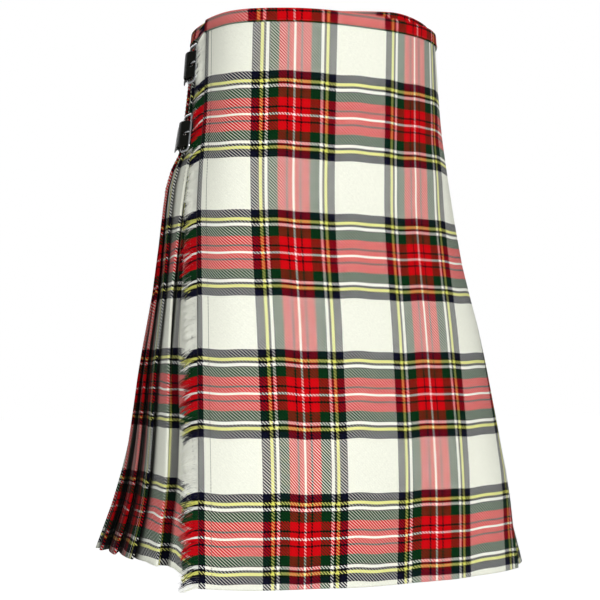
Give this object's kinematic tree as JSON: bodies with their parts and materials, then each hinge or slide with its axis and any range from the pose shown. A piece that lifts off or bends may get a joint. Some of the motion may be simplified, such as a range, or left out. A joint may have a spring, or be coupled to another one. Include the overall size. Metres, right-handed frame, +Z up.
{
  "type": "scottish kilt",
  "caption": "Wrap kilt in a white-ground tartan, worn and hollow, with a fringed over apron, knife pleats round the back and leather straps with buckles.",
  "frame": {"origin": "middle of the waist opening, level with the top edge of the cloth", "axes": "+Z up, the front faces -Y, the wearer's left is +X; the open over apron edge and its two buckles are on the wearer's right, -X"},
  "size_m": [0.4987, 0.3666, 0.6147],
  "materials": {
    "tartan": "matt twill in cream, red, green, navy, black and yellow",
    "fringe": "loose weft threads",
    "leather": "black, semi-gloss",
    "steel": "polished"
  },
  "bodies": {
    "root": {"over_apron": "tartan", "under_apron": "tartan", "pleats_left": "tartan", "pleats_right": "tartan", "waistband": "tartan", "apron_fringe": "fringe", "strap_upper_right": "leather", "chape_upper_right": "leather", "buckle_upper_right": "steel", "prong_upper_right": "steel", "strap_lower_right": "leather", "chape_lower_right": "leather", "buckle_lower_right": "steel", "prong_lower_right": "steel", "strap_left": "leather", "chape_left": "leather", "buckle_left": "steel", "prong_left": "steel"}
  },
  "joints": []
}
